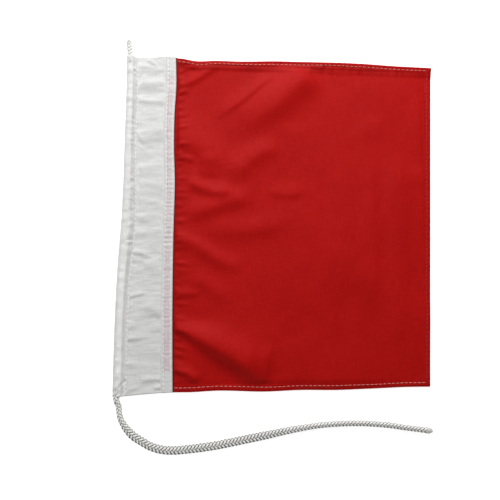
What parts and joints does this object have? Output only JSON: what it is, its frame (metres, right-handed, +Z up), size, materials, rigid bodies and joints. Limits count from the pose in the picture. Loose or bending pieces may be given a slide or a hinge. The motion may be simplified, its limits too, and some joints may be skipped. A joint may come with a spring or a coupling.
{
  "type": "roped signal flag",
  "caption": "Small red signal flag with a white canvas heading and a braided rope sewn into its sleeve, laid flat with the rope's free end beside it.",
  "frame": {"origin": "on the surface that the flag lies on, under the middle of the flag and its sleeved rope", "axes": "+X from the heading towards the fly edge, +Y up the hoist along the rope, +Z up out of the surface"},
  "size_m": [0.282, 0.3673, 0.0072],
  "materials": {
    "canvas": "matt white cotton canvas, slightly crumpled",
    "red_cloth": "red woven polyester with a soft sheen",
    "rope": "white hollow-braided cord",
    "whipping": "waxed off-white twine",
    "canvas_thread": "white polyester sewing thread",
    "hem_thread": "pale pinkish sewing thread"
  },
  "bodies": {
    "hoist": {"heading": "canvas", "fly_tuck": "red_cloth", "hoist_rope": "rope", "top_whipping": "whipping", "rope_tail": "rope", "tail_whipping": "whipping", "sleeve_stitching": "canvas_thread", "tuck_stitching": "canvas_thread", "seam_stitching": "canvas_thread", "heading_top_stitching": "canvas_thread", "heading_bottom_stitching": "canvas_thread", "top_rope_tack": "canvas_thread", "bottom_rope_tack": "canvas_thread"},
    "fly": {"fly_panel": "red_cloth", "top_hem_stitching": "hem_thread", "bottom_hem_stitching": "hem_thread", "fly_hem_stitching": "hem_thread"}
  },
  "joints": [
    {"name": "fly_swing", "type": "hinge", "parent": "hoist", "child": "fly", "pos_m": [-0.09285, -0.0065, 0.0024], "axis": [0, -1, 0], "range_deg": [0, 165]}
  ]
}
